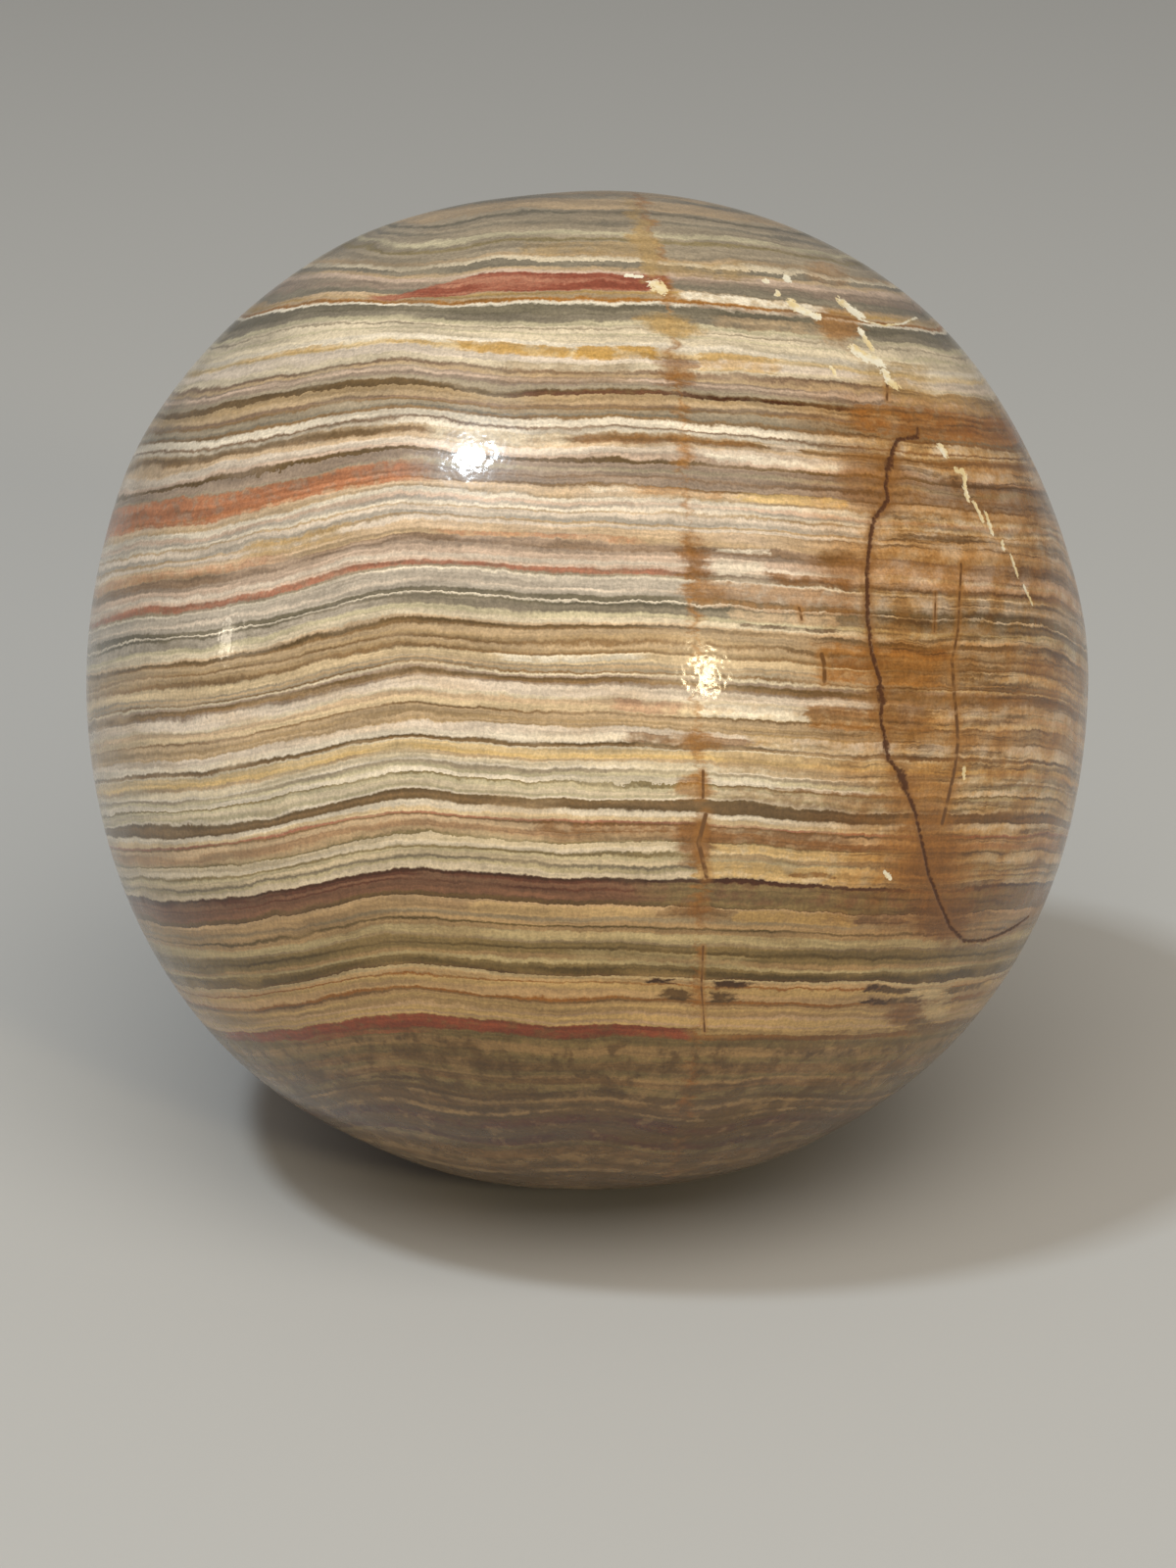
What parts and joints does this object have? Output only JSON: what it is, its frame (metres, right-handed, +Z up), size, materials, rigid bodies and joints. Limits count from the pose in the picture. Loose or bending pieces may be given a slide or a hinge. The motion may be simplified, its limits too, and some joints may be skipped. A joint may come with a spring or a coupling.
{
  "type": "banded onyx sphere",
  "caption": "Polished ball of banded, bedded stone, slightly squarish from hand grinding, with a small flat ground foot to stand on.",
  "frame": {"origin": "middle of the ground foot the ball stands on", "axes": "+Z up, +X to the viewer's right in the picture, +Y away from the viewer; the beds lean 14 degrees back, towards +Y"},
  "size_m": [0.0764, 0.0766, 0.0761],
  "materials": {
    "onyx": "polished, in thin beds of cream, grey, mauve-brown, ochre, brick red and olive"
  },
  "bodies": {
    "root": {"onyx_sphere": "onyx"}
  },
  "joints": []
}
